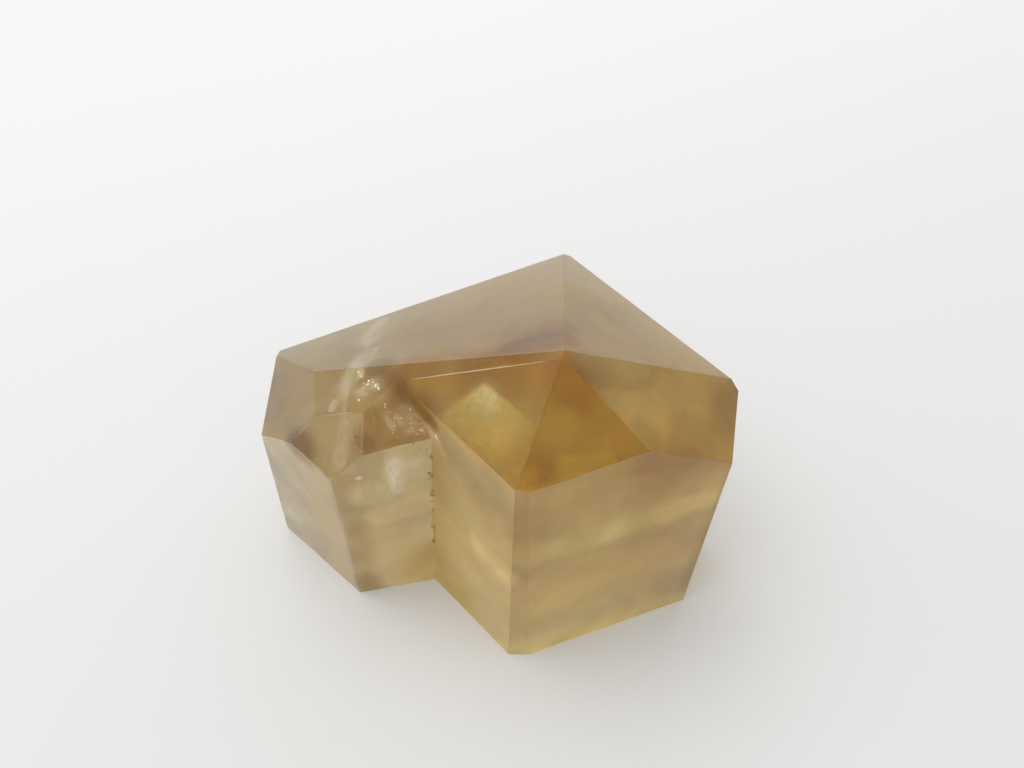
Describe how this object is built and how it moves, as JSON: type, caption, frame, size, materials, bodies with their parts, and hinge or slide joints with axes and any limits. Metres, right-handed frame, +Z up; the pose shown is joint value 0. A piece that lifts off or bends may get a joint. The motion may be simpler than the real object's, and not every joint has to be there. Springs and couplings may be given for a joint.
{
  "type": "citrine double point",
  "caption": "Polished clear smoky-yellow quartz crystal pair grown as one piece, points up, with flat facets, a front groove and a flat sawn base to stand on.",
  "frame": {"origin": "bottom centre of the crystal's bounding box, on the plane of the sawn base", "axes": "+Z up along the crystals, +X towards the main crystal from the side crystal, +Y from the grooved front to the flat back wall"},
  "size_m": [0.0486, 0.0324, 0.0372],
  "materials": {
    "citrine": "polished"
  },
  "bodies": {
    "root": {"citrine_double_point": "citrine"}
  },
  "joints": []
}
